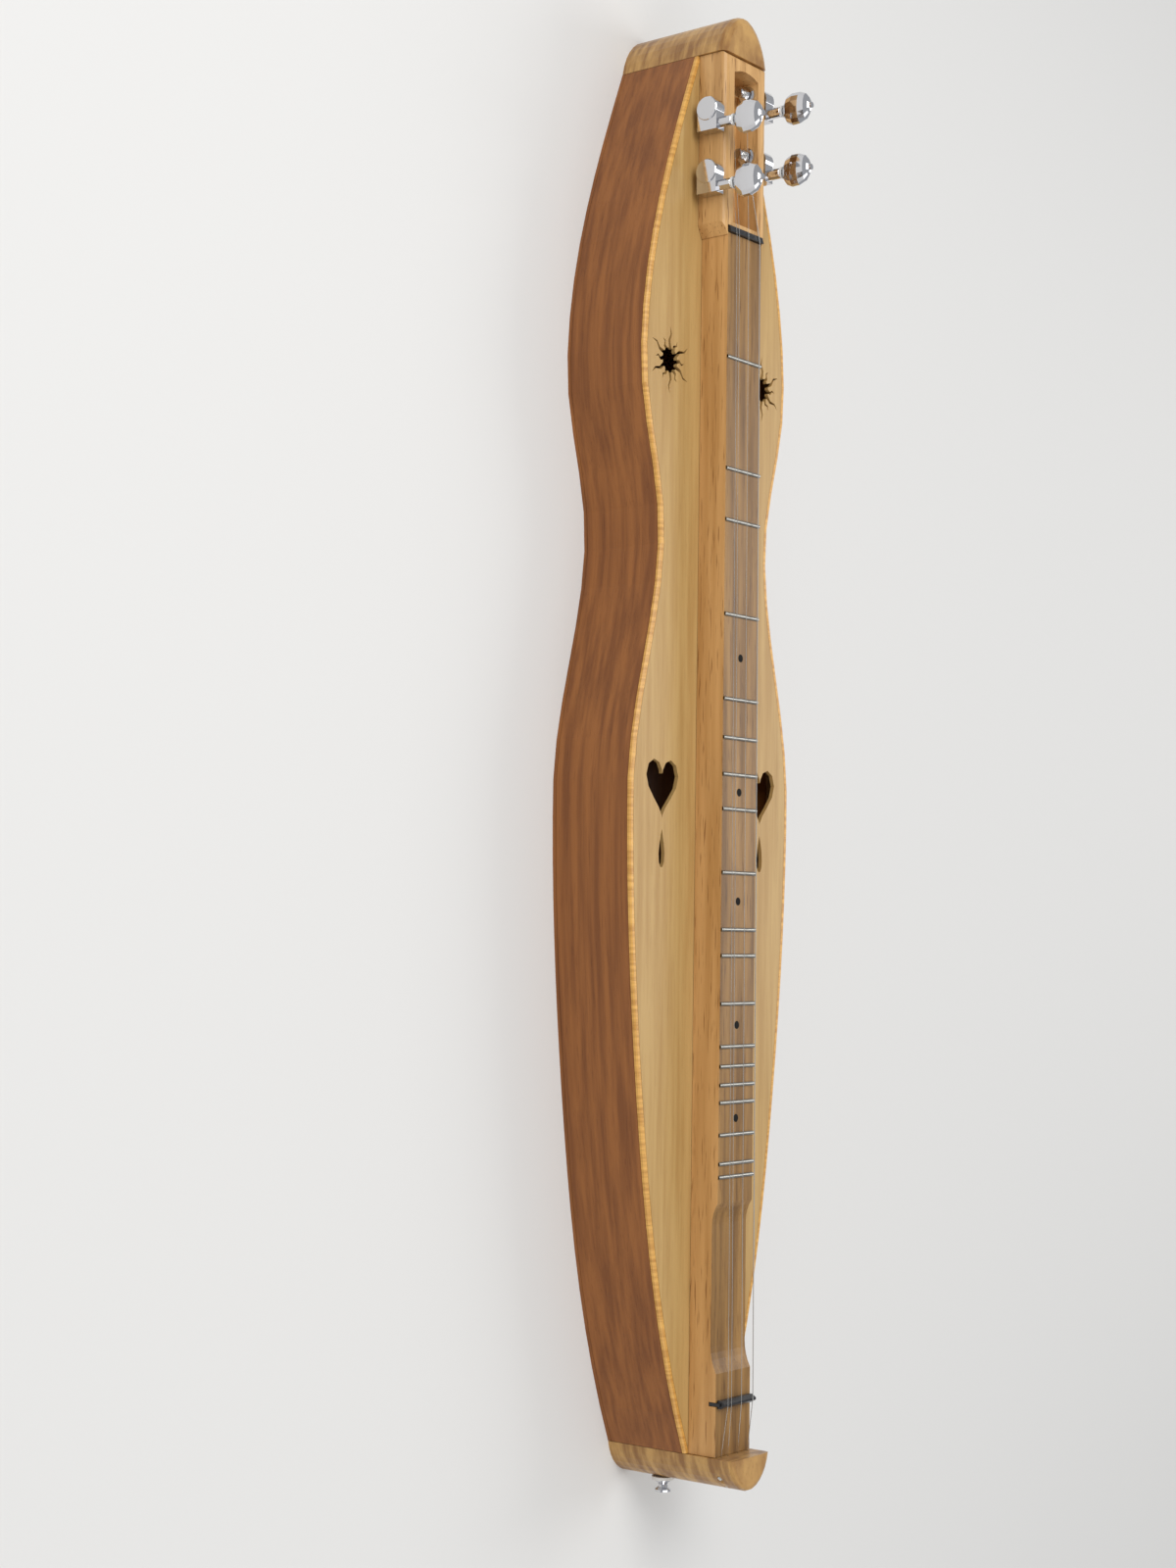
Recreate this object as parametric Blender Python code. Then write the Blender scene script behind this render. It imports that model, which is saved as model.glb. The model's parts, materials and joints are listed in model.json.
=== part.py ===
# Mountain dulcimer: four strings over a diatonic fretboard on an hourglass box.
# It lies on its back. Metres, +Z up, strings along X with the head at +X.
# Stations along the instrument are distances from the nut towards the tail.

import math

import bmesh
import bpy
import numpy as np

for stale in list(bpy.data.objects):
    bpy.data.objects.remove(stale, do_unlink=True)

# Driving dimensions: fits
GAP = 0.0003
INNER_CLEARANCE = 0.0005

# Driving dimensions: scale and body
SCALE_LENGTH = 0.7239
HEAD_END = -0.1150
TAIL_END = 0.7575
BODY_HEIGHT = 0.0600
HEAD_HALF_WIDTH = 0.0245
UPPER_HALF_WIDTH = 0.0773
WAIST_HALF_WIDTH = 0.0572
LOWER_HALF_WIDTH = 0.0852
TAPER_HALF_WIDTH = 0.0695
TAIL_HALF_WIDTH = 0.0205
UPPER_STATION = 0.0860
WAIST_STATION = 0.1930
LOWER_STATION = 0.3520
TAPER_STATION = 0.5600
HEAD_FLARE = 0.40
TAPER_FLARE = -0.135
TAIL_FLARE = -0.42
OUTLINE_STEPS = 36

# Driving dimensions: plates, sides and what is glued inside
BACK_THICKNESS = 0.0024
SOUNDBOARD_THICKNESS = 0.0026
SIDE_THICKNESS = 0.0022
BINDING_WIDTH = 0.0030
BINDING_HEIGHT = 0.0024
BINDING_ROUND = 0.0008
LINING_WIDTH = 0.0055
LINING_HEIGHT = 0.0120
LINING_FOOT = 0.0030
BRACE_WIDTH = 0.0080
BRACE_HEIGHT = 0.0090
BRACE_SCALLOP = 0.0050
FRONT_BRACE_STATIONS = {"upper": 0.1500, "lower": 0.4700}
BACK_BRACE_STATIONS = {"upper": 0.2000, "lower": 0.5700}

# Driving dimensions: end blocks
HEAD_BLOCK_LENGTH = 0.0275
TAIL_BLOCK_LENGTH = 0.0205
BLOCK_LEAN = 0.20
BLOCK_POWER = 2.4
BLOCK_ARC_STEPS = 14
BLOCK_TENON = 0.0220
HEAD_BLOCK_ROUND = 0.0045
TAIL_BLOCK_RISE = 0.0140
TAIL_BLOCK_ROUND = 0.0030

# Driving dimensions: fretboard
FRETBOARD_WIDTH = 0.0367
FRETBOARD_HEIGHT = 0.0201
CHANNEL_WIDTH = 0.0200
CHANNEL_DEPTH = 0.0110
CHANNEL_START = 0.0300
CHANNEL_END = 0.6900
SCOOP_START = 0.6040
SCOOP_END = 0.7070
SCOOP_DEPTH = 0.0042
SCOOP_ENTRY = 0.0130
SCOOP_EXIT = 0.0160
FRET_SEMITONES = (2, 4, 5, 7, 9, 10, 11, 12, 14, 16, 17, 19, 21, 22, 23, 24, 26, 28, 29)
FRET_CROWN_WIDTH = 0.0024
FRET_CROWN_HEIGHT = 0.0011

# Driving dimensions: nut and bridge
NUT_THICKNESS = 0.0040
NUT_SEAT = 0.0030
NUT_RISE = 0.0022
NUT_FALL = 0.0012
BRIDGE_COMPENSATION = 0.0016
BRIDGE_TONGUE = 0.0020
BRIDGE_SEAT = 0.0052
BRIDGE_WIDTH = 0.0050
BRIDGE_RISE = 0.0054
BRIDGE_CREST = 0.0014
BRIDGE_END_INSET = 0.0012

# Driving dimensions: pegbox
CHEEK_OVERHANG = 0.0045
CHEEK_STEP_START = 0.0063
CHEEK_STEP_END = 0.0018
CHEEK_ROUND = 0.0035
SLOT_WIDTH = 0.0263
SLOT_DEPTH = 0.0170
SLOT_HEAD_WALL = 0.0085
SLOT_NUT_WALL = 0.0070
SLOT_ARC_RISE = 0.0030

# Driving dimensions: strings, in the order outer melody, inner melody, middle, bass
STRING_NAMES = ("melody_outer", "melody_inner", "middle", "bass")
STRING_RADIUS = (0.00015, 0.00015, 0.00018, 0.00030)
STRING_NUT_Y = (0.0126, 0.0098, -0.0003, -0.0126)
STRING_BRIDGE_Y = (0.0139, 0.0103, -0.0003, -0.0125)
STRING_TAIL_Y = (0.0138, 0.0066, -0.0038, -0.0142)
STRING_TAIL_RISE = 0.0012
STRING_HOLE_RADIUS = 0.0008
BALL_RADIUS = 0.0019
BALL_POCKET_DEPTH = 0.0042
WINDING_TURNS = 3
WINDING_SELF_GAP = 0.00048
WINDING_POINTS = 24

# Driving dimensions: tuners; side +1 is the +Y cheek
TUNER_SIDE = (1, 1, -1, -1)
TUNER_STATION = (-0.0365, -0.0765, -0.0965, -0.0565)
POST_DEPTH = 0.0080
POST_RADIUS = 0.0030
POST_WAIST_RADIUS = 0.0026
POST_FLANGE_RADIUS = 0.0035
POST_REACH = 0.0209
POST_WAIST_LENGTH = 0.0040
FERRULE_RADIUS = 0.0060
FERRULE_THICKNESS = 0.0023
FERRULE_COLLAR = 0.0046
RUNNING_CLEARANCE = 0.0002
GEAR_TEETH = 14
GEAR_PITCH_RADIUS = 0.0062
WORM_PITCH_RADIUS = 0.0030
TOOTH_HEIGHT = 0.00045
TOOTH_TIP = 0.00066
TOOTH_ROOT = 0.00124
MESH_CLEARANCE = 0.00015
GEAR_THICKNESS = 0.0024
WORM_THREAD_TURNS = 3
WORM_LIFT = 0.0043
HOUSING_WALL = 0.0008
HOUSING_HALF_WIDTH = 0.0073
NECK_RADIUS = 0.0034
NECK_LENGTH = 0.0098
SHAFT_RADIUS = 0.0020
WASHER_THICKNESS = 0.0009
BUTTON_LENGTH = 0.0200
BUTTON_HALF_WIDTH = 0.0105
BUTTON_HALF_THICKNESS = 0.0046
BUTTON_SCREW_RADIUS = 0.0019
BUTTON_SCREW_HEIGHT = 0.0014

# Driving dimensions: strap button
STRAP_HEIGHT = 0.0280
STRAP_WASHER_RADIUS = 0.0070
STRAP_WASHER_THICKNESS = 0.0018
STRAP_BUTTON_LENGTH = 0.0072
STRAP_BUTTON_RADIUS = 0.0052
STRAP_SCREW_RADIUS = 0.0016
STRAP_SCREW_LENGTH = 0.0180

# Values worked out from the driving dimensions
TOP = BODY_HEIGHT + GAP + FRETBOARD_HEIGHT
HALF_BOARD = FRETBOARD_WIDTH / 2
CHEEK_Y = HALF_BOARD + CHEEK_OVERHANG
CHEEK_WALL = CHEEK_Y - SLOT_WIDTH / 2
POST_Z = TOP - POST_DEPTH
BRIDGE_STATION = SCALE_LENGTH + BRIDGE_COMPENSATION
STRING_TAIL_Z = TOP + STRING_TAIL_RISE
HEAD_TIP = HEAD_END - HEAD_BLOCK_LENGTH
TAIL_TIP = TAIL_END + TAIL_BLOCK_LENGTH
STRAP_START = TAIL_TIP + GAP + STRAP_WASHER_THICKNESS + GAP
STRAP_END = STRAP_START + STRAP_BUTTON_LENGTH
NUT_X = (STRAP_END + HEAD_TIP) / 2
WORM_OFFSET = GEAR_PITCH_RADIUS + WORM_PITCH_RADIUS + MESH_CLEARANCE
GEAR_TIP_RADIUS = GEAR_PITCH_RADIUS + TOOTH_HEIGHT
GEAR_ROOT_RADIUS = GEAR_PITCH_RADIUS - TOOTH_HEIGHT - MESH_CLEARANCE
WORM_TIP_RADIUS = WORM_PITCH_RADIUS + TOOTH_HEIGHT
WORM_ROOT_RADIUS = WORM_PITCH_RADIUS - TOOTH_HEIGHT - MESH_CLEARANCE
WORM_PITCH = 2 * math.pi * GEAR_PITCH_RADIUS / GEAR_TEETH
GEAR_CAVITY_RADIUS = GEAR_TIP_RADIUS + RUNNING_CLEARANCE
CAP_RADIUS = GEAR_CAVITY_RADIUS + HOUSING_WALL
CAVITY_HALF_LENGTH = HOUSING_HALF_WIDTH - HOUSING_WALL
NECK_END = HOUSING_HALF_WIDTH + NECK_LENGTH
WASHER_END = NECK_END + GAP + WASHER_THICKNESS
BUTTON_START = WASHER_END + GAP
BUTTON_END = BUTTON_START + BUTTON_LENGTH
POST_SHOULDER = -(CHEEK_WALL + GAP + FERRULE_THICKNESS + GAP)
WAIST_START = POST_SHOULDER - 0.0020
WAIST_END = WAIST_START - POST_WAIST_LENGTH


def along(station):
    """World X of a distance from the nut towards the tail."""
    return NUT_X - station


def material(name, colour, roughness, metallic=0.0):
    """A Principled material with one colour, roughness and metallic value."""
    made = bpy.data.materials.new(name)
    made.use_nodes = True
    shader = made.node_tree.nodes["Principled BSDF"]
    shader.inputs["Base Color"].default_value = (*colour, 1.0)
    shader.inputs["Roughness"].default_value = roughness
    shader.inputs["Metallic"].default_value = metallic
    return made


SIDE_WOOD = material("side_wood", (0.235, 0.075, 0.028), 0.35)
SPRUCE = material("soundboard_wood", (0.42, 0.25, 0.085), 0.35)
MAPLE = material("block_wood", (0.47, 0.25, 0.075), 0.35)
BINDING_WOOD = material("binding_wood", (0.68, 0.36, 0.09), 0.35)
BOARD_WOOD = material("fretboard_wood", (0.50, 0.30, 0.12), 0.4)
INNER_WOOD = material("inner_wood", (0.55, 0.38, 0.20), 0.7)
BLACK = material("black_bone", (0.012, 0.012, 0.014), 0.35)
NICKEL = material("fret_wire", (0.62, 0.60, 0.55), 0.3, 1.0)
STEEL = material("string_steel", (0.60, 0.60, 0.60), 0.3, 1.0)
BRASS = material("ball_brass", (0.72, 0.50, 0.20), 0.3, 1.0)
CHROME = material("tuner_chrome", (0.75, 0.75, 0.77), 0.08, 1.0)
NYLON = material("washer_nylon", (0.80, 0.80, 0.78), 0.5)
FELT = material("washer_felt", (0.75, 0.74, 0.70), 0.95)


def make(name, verts, faces, finish, smooth_angle=0.0, parent=None, place=(0, 0, 0)):
    """One object from plain points and faces, with its faces turned outwards."""
    mesh = bpy.data.meshes.new(name)
    mesh.from_pydata([tuple(map(float, v)) for v in verts], [], [list(map(int, f)) for f in faces])
    work = bmesh.new()
    work.from_mesh(mesh)
    bmesh.ops.recalc_face_normals(work, faces=work.faces)
    work.to_mesh(mesh)
    work.free()
    mesh.materials.append(finish)
    if smooth_angle:
        mesh.shade_smooth()
        mesh.set_sharp_from_angle(angle=math.radians(smooth_angle))
    made = bpy.data.objects.new(name, mesh)
    made.location = place
    made.parent = parent
    bpy.context.scene.collection.objects.link(made)
    return made


def grid_faces(rows, columns, offset=0):
    """Quads between rows of points, each row a closed loop, with both ends capped."""
    faces = []
    for row in range(rows - 1):
        for column in range(columns):
            here = offset + row * columns + column
            beside = offset + row * columns + (column + 1) % columns
            faces.append((here, beside, beside + columns, here + columns))
    faces.append([offset + column for column in reversed(range(columns))])
    faces.append([offset + (rows - 1) * columns + column for column in range(columns)])
    return faces


def prism(name, outline, low, high, finish, axis="Z", **options):
    """A flat outline pushed from low to high: (x, y) along Z, (x, z) along Y, (y, z) along X."""
    order = {"Z": lambda p, h: (p[0], p[1], h), "Y": lambda p, h: (p[0], h, p[1]),
             "X": lambda p, h: (h, p[0], p[1])}[axis]
    verts = [order(p, low) for p in outline] + [order(p, high) for p in outline]
    return make(name, verts, grid_faces(2, len(outline)), finish, **options)


def prisms(name, outlines, spans, finish, axis="Z", **options):
    """Several separate prisms in one object."""
    order = {"Z": lambda p, h: (p[0], p[1], h), "Y": lambda p, h: (p[0], h, p[1]),
             "X": lambda p, h: (h, p[0], p[1])}[axis]
    verts = []
    faces = []
    for outline, (low, high) in zip(outlines, spans):
        faces += grid_faces(2, len(outline), len(verts))
        verts += [order(p, low) for p in outline] + [order(p, high) for p in outline]
    return make(name, verts, faces, finish, **options)


def turned(name, profile, segments, finish, axis="Z", ring=False, phase=0.0, **options):
    """A profile of (radius, height) turned about an axis; ring joins its last point to its first."""
    verts = []
    for radius, height in profile:
        for step in range(segments):
            angle = phase + 2 * math.pi * step / segments
            across, up = radius * math.cos(angle), radius * math.sin(angle)
            verts.append((across, up, height) if axis == "Z" else (height, across, up))
    faces = grid_faces(len(profile), segments)
    if ring:
        faces = faces[:-2]
        last = (len(profile) - 1) * segments
        for step in range(segments):
            beside = (step + 1) % segments
            faces.append((last + step, last + beside, beside, step))
    return make(name, verts, faces, finish, **options)


def disc(centre, radius, segments):
    """Points of a circle in a plane."""
    angles = 2 * np.pi * np.arange(segments) / segments
    return [(centre[0] + radius * math.cos(a), centre[1] + radius * math.sin(a)) for a in angles]


def rectangle(low_u, high_u, low_v, high_v):
    """Corners of a rectangle in a plane."""
    return [(low_u, low_v), (high_u, low_v), (high_u, high_v), (low_u, high_v)]


def combine(target, tool, operation="DIFFERENCE"):
    """Cut a tool out of a target, or join it on, and keep the tool as a guide."""
    tool.hide_render = True
    tool.display_type = "WIRE"
    step = target.modifiers.new(operation.lower() + "_" + tool.name, "BOOLEAN")
    step.operation = operation
    step.object = tool
    step.solver = "EXACT"
    return target


OUTLINE_KNOTS = np.array((
    (HEAD_END, HEAD_HALF_WIDTH, HEAD_FLARE),
    (UPPER_STATION, UPPER_HALF_WIDTH, 0.0),
    (WAIST_STATION, WAIST_HALF_WIDTH, 0.0),
    (LOWER_STATION, LOWER_HALF_WIDTH, 0.0),
    (TAPER_STATION, TAPER_HALF_WIDTH, TAPER_FLARE),
    (TAIL_END, TAIL_HALF_WIDTH, TAIL_FLARE)))


def half_width(station, inset=0.0):
    """Half the body's width: a cubic between knots of place, width and slope, less an inset."""
    station = np.asarray(station, float)
    place, width, slope = OUTLINE_KNOTS.T
    span = np.clip(np.searchsorted(place, station, side="right") - 1, 0, len(place) - 2)
    length = place[span + 1] - place[span]
    t = (station - place[span]) / length
    value = ((1 + 2 * t) * (1 - t) ** 2 * width[span] + t * (1 - t) ** 2 * length * slope[span]
             + t ** 2 * (3 - 2 * t) * width[span + 1] + t ** 2 * (t - 1) * length * slope[span + 1])
    grade = (6 * t * (t - 1) * (width[span] - width[span + 1]) / length
             + (1 - t) * (1 - 3 * t) * slope[span] + t * (3 * t - 2) * slope[span + 1])
    return value - inset * np.sqrt(1 + grade ** 2)


def chord_half_width(station, inset):
    """Half the width along the straight steps that every swept piece shares."""
    shared = np.linspace(HEAD_END + GAP, TAIL_END - GAP, OUTLINE_STEPS + 1)
    return np.interp(station, shared, half_width(shared, inset))


def plate(name, inset, low, high, finish):
    """A closed plate that follows the body's outline, drawn in by an inset."""
    stations = np.linspace(HEAD_END + GAP, TAIL_END - GAP, OUTLINE_STEPS + 1)
    half = half_width(stations, inset)
    outline = [(along(s), h) for s, h in zip(stations, half)]
    outline += [(along(s), -h) for s, h in zip(stations[::-1], half[::-1])]
    return prism(name, outline, low, high, finish)


def strip(name, sides, section, start, end, finish, **options):
    """A section of (inset, height) points swept along one or both edges of the body."""
    stations = np.linspace(HEAD_END + GAP, TAIL_END - GAP, OUTLINE_STEPS + 1)
    inside = stations[(stations > start + INNER_CLEARANCE) & (stations < end - INNER_CLEARANCE)]
    stations = np.concatenate(([start], inside, [end]))
    verts = []
    faces = []
    for side in sides:
        faces += grid_faces(len(stations), len(section), len(verts))
        for station in stations:
            for inset, height in section:
                verts.append((along(station), side * chord_half_width(station, inset), height))
    return make(name, verts, faces, finish, **options)


def block_outline(station, length, half):
    """Arch of an end block in plan: its half width falls with a lean and a rounded power."""
    outward = 1 if length > 0 else -1
    share = np.sin(np.linspace(0, np.pi / 2, BLOCK_ARC_STEPS // 2 + 1))[:-1]
    wide = (half - BLOCK_LEAN * abs(length) * share) * np.sqrt(1 - share ** BLOCK_POWER)
    reach = station + outward * abs(length) * share
    tip = station + outward * abs(length)
    flat = wide[-1] / 2
    upper = [(along(r), w) for r, w in zip(reach, wide)] + [(along(tip), flat)]
    return upper + [(x, -y) for x, y in reversed(upper)]


def round_front_edge(block, height, flat_x, radius, segments=2):
    """Round the arch edge of a block at a height, but not the edge of its flat face."""
    work = bmesh.new()
    work.from_mesh(block.data)
    edges = [e for e in work.edges
             if all(abs(v.co.z - height) < 1e-6 for v in e.verts)
             and not all(abs(v.co.x - flat_x) < 1e-6 for v in e.verts)]
    bmesh.ops.bevel(work, geom=edges, offset=radius, segments=segments, profile=0.5,
                    affect="EDGES", clamp_overlap=True)
    work.to_mesh(block.data)
    work.free()


def tenon(name, start, end, finish):
    """The part of an end block that the sides are glued to, inside the body."""
    inset = SIDE_THICKNESS + GAP + INNER_CLEARANCE
    low = BACK_THICKNESS + GAP
    high = BODY_HEIGHT - SOUNDBOARD_THICKNESS - GAP
    edges = np.clip((start, end), HEAD_END, TAIL_END)
    stations = np.unique(np.concatenate(((start, end), edges)))
    half = chord_half_width(stations, inset)
    outline = [(along(s), h) for s, h in zip(stations, half)]
    outline += [(along(s), -h) for s, h in zip(stations[::-1], half[::-1])]
    return prism(name, outline, low, high, finish)


def make_body():
    """Back, sides, linings, braces, soundboard and bindings."""
    plate("back", 0.0, 0.0, BACK_THICKNESS, SIDE_WOOD)
    board = plate("soundboard", BINDING_WIDTH + GAP, BODY_HEIGHT - SOUNDBOARD_THICKNESS,
                  BODY_HEIGHT, SPRUCE)
    cut_sound_holes(board)
    start = HEAD_END + GAP
    end = TAIL_END - GAP
    side_top = BODY_HEIGHT - BINDING_HEIGHT - GAP
    low = BACK_THICKNESS + GAP
    wall = [(0, low), (0, side_top), (SIDE_THICKNESS, side_top), (SIDE_THICKNESS, low)]
    top = BODY_HEIGHT
    binding = [(0, top - BINDING_HEIGHT), (0, top - BINDING_ROUND), (BINDING_ROUND, top),
               (BINDING_WIDTH, top), (BINDING_WIDTH, top - BINDING_HEIGHT)]
    for side, word in ((1, "left"), (-1, "right")):
        strip("side_" + word, (side,), wall, start, end, SIDE_WOOD)
        strip("binding_" + word, (side,), binding, start, end, BINDING_WOOD)
    inner = SIDE_THICKNESS + GAP
    outer = inner + LINING_WIDTH
    lining_start = HEAD_END + BLOCK_TENON + GAP
    lining_end = TAIL_END - BLOCK_TENON - GAP
    shelf = BODY_HEIGHT - max(SOUNDBOARD_THICKNESS, BINDING_HEIGHT) - GAP
    front = [(inner, shelf), (outer, shelf), (outer, shelf - LINING_FOOT), (inner, shelf - LINING_HEIGHT)]
    back = [(inner, low), (inner, low + LINING_HEIGHT), (outer, low + LINING_FOOT), (outer, low)]
    for side, word in ((1, "left"), (-1, "right")):
        strip("lining_front_" + word, (side,), front, lining_start, lining_end, INNER_WOOD)
        strip("lining_back_" + word, (side,), back, lining_start, lining_end, INNER_WOOD)
    make_braces("front_brace", FRONT_BRACE_STATIONS, shelf, -1)
    make_braces("back_brace", BACK_BRACE_STATIONS, low, 1)


def make_braces(name, stations, seat, rise):
    """Cross bars between the linings, tapered at both ends, on the seat of their plate."""
    inset = SIDE_THICKNESS + GAP + LINING_WIDTH + INNER_CLEARANCE
    for word, station in stations.items():
        edges = chord_half_width((station - BRACE_WIDTH / 2, station + BRACE_WIDTH / 2), inset)
        reach = float(edges.min())
        crown = seat + rise * BRACE_HEIGHT
        toe = seat + rise * (BRACE_HEIGHT - BRACE_SCALLOP)
        outline = [(-reach, seat), (reach, seat), (reach, toe), (reach / 2, crown),
                   (-reach / 2, crown), (-reach, toe)]
        prism(name + "_" + word, outline, along(station) - BRACE_WIDTH / 2, along(station) + BRACE_WIDTH / 2,
              INNER_WOOD, axis="X")


# Driving dimensions: sound holes
SUN_STATION = 0.0850
SUN_Y = 0.0505
SUN_CORE = 0.0076
SUN_RAYS = 12
SUN_RAY_LONG = 0.0210
SUN_RAY_SHORT = 0.0145
SUN_RAY_WIDTH = 0.0024
SUN_RAY_WAVE = 0.0016
HEART_STATION = 0.3480
HEART_Y = 0.0530
HEART_HALF_WIDTH = 0.0165
HEART_LENGTH = 0.0360
TEAR_LENGTH = 0.0240
TEAR_HALF_WIDTH = 0.0042
TEAR_SPACE = 0.0060


def sun_outline():
    """A round core with wavy rays, long and short in turn, each tapering to a fine tip."""
    points = []
    for ray in range(SUN_RAYS):
        angle = 2 * math.pi * ray / SUN_RAYS
        tip = SUN_RAY_LONG if ray % 2 == 0 else SUN_RAY_SHORT
        left = []
        right = []
        for share in (0.0, 0.33, 0.66, 1.0):
            reach = SUN_CORE + (tip - SUN_CORE) * share
            wide = SUN_RAY_WIDTH / 2 * (1 - share) ** 0.8 + 0.00012
            bend = SUN_RAY_WAVE * math.sin(2 * math.pi * share) * (0.4 + 0.6 * share)
            for bank, rail in ((left, -wide), (right, wide)):
                across = bend + rail
                bank.append((reach * math.cos(angle) - across * math.sin(angle),
                             reach * math.sin(angle) + across * math.cos(angle)))
        points += left + right[::-1]
    return points


def heart_outline():
    """A plain heart with its point towards the tail: two lobes and a tapered foot."""
    points = []
    for step in range(20):
        t = 2 * math.pi * step / 20
        wide = math.sin(t) ** 3
        tall = (13 * math.cos(t) - 5 * math.cos(2 * t) - 2 * math.cos(3 * t) - math.cos(4 * t)) / 29
        points.append((HEART_LENGTH * tall, HEART_HALF_WIDTH * wide))
    return points


def tear_outline():
    """A teardrop whose fine end points back at the heart."""
    points = []
    for step in range(12):
        t = 2 * math.pi * (step + 0.5) / 12
        points.append((TEAR_LENGTH / 2 * math.cos(t), TEAR_HALF_WIDTH * math.sin(t) * math.sin(t / 2) ** 1.2))
    return points


def cut_sound_holes(board):
    """Cut a sun and a heart with its teardrop through the soundboard on each side."""
    tear_station = HEART_STATION + HEART_LENGTH * 0.6 + TEAR_SPACE + TEAR_LENGTH / 2
    outlines = []
    for side in (1, -1):
        for shape, station, centre in ((sun_outline(), SUN_STATION, SUN_Y),
                                       (heart_outline(), HEART_STATION, HEART_Y),
                                       (tear_outline(), tear_station, HEART_Y)):
            outlines.append([(along(station) + x, side * (centre + y)) for x, y in shape])
    depth = (BODY_HEIGHT - 2 * SOUNDBOARD_THICKNESS, BODY_HEIGHT + SOUNDBOARD_THICKNESS)
    combine(board, prisms("sound_hole_cutter", outlines, [depth] * len(outlines), SPRUCE))


def string_exit(y):
    """Station where the tail block's curved end lies at a distance from the centre line."""
    outline = np.array(block_outline(TAIL_END, TAIL_BLOCK_LENGTH, TAIL_HALF_WIDTH))
    upper = outline[outline[:, 1] > 0]
    order = np.argsort(upper[:, 1])
    return NUT_X - float(np.interp(abs(y), upper[order, 1], upper[order, 0]))


def make_blocks():
    """Head block and tail block: an arch in plan from back to front, with a tenon inside."""
    head = prism("head_block", block_outline(HEAD_END, -HEAD_BLOCK_LENGTH, HEAD_HALF_WIDTH), 0, TOP, MAPLE)
    round_front_edge(head, TOP, along(HEAD_END), HEAD_BLOCK_ROUND)
    overlap = HEAD_BLOCK_LENGTH / 4
    combine(head, tenon("head_tenon", HEAD_END - overlap, HEAD_END + BLOCK_TENON, MAPLE), "UNION")

    crown = TOP + TAIL_BLOCK_RISE
    tail = prism("tail_block", block_outline(TAIL_END, TAIL_BLOCK_LENGTH, TAIL_HALF_WIDTH), 0, crown, MAPLE)
    round_front_edge(tail, crown, along(TAIL_END), TAIL_BLOCK_ROUND)
    overlap = TAIL_BLOCK_LENGTH / 4
    combine(tail, tenon("tail_tenon", TAIL_END - BLOCK_TENON, TAIL_END + overlap, MAPLE), "UNION")
    holes = []
    spans = []
    for y in STRING_TAIL_Y:
        floor = string_exit(y) - BALL_POCKET_DEPTH
        holes.append(disc((y, STRING_TAIL_Z), STRING_HOLE_RADIUS, 8))
        spans.append((along(floor + GAP), along(TAIL_END - GAP)))
    combine(tail, prisms("string_hole_cutter", holes, spans, MAPLE, axis="X"))
    pockets = []
    spans = []
    for y in STRING_TAIL_Y:
        pockets.append(disc((y, STRING_TAIL_Z), BALL_RADIUS + GAP, 12))
        spans.append((along(TAIL_TIP + BALL_POCKET_DEPTH), along(string_exit(y) - BALL_POCKET_DEPTH)))
    combine(tail, prisms("ball_pocket_cutter", pockets, spans, MAPLE, axis="X"))
    bore = disc((0, STRAP_HEIGHT), STRAP_SCREW_RADIUS + GAP, 12)
    deep = along(STRAP_END - STRAP_SCREW_LENGTH - 2 * GAP)
    combine(tail, prism("strap_bore_cutter", bore, along(STRAP_END), deep, MAPLE, axis="X"))


def fret_station(semitone):
    """Equal temperament: the string is stopped at 1 - 2^(-n/12) of the scale length."""
    return SCALE_LENGTH * (1 - 2 ** (-semitone / 12))


def scoop_points():
    """Side view of the strum hollow: an arc down, a level floor and an arc up."""
    floor = TOP - SCOOP_DEPTH
    entry = (SCOOP_ENTRY ** 2 + SCOOP_DEPTH ** 2) / (2 * SCOOP_DEPTH)
    leave = (SCOOP_EXIT ** 2 + SCOOP_DEPTH ** 2) / (2 * SCOOP_DEPTH)
    points = []
    for share in np.linspace(0, 1, 5):
        run = SCOOP_ENTRY * (1 - share)
        points.append((SCOOP_START + SCOOP_ENTRY * share, floor + entry - math.sqrt(entry ** 2 - run ** 2)))
    for share in np.linspace(0, 1, 5):
        run = SCOOP_EXIT * share
        points.append((SCOOP_END - SCOOP_EXIT + run, floor + leave - math.sqrt(leave ** 2 - run ** 2)))
    return points


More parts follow.
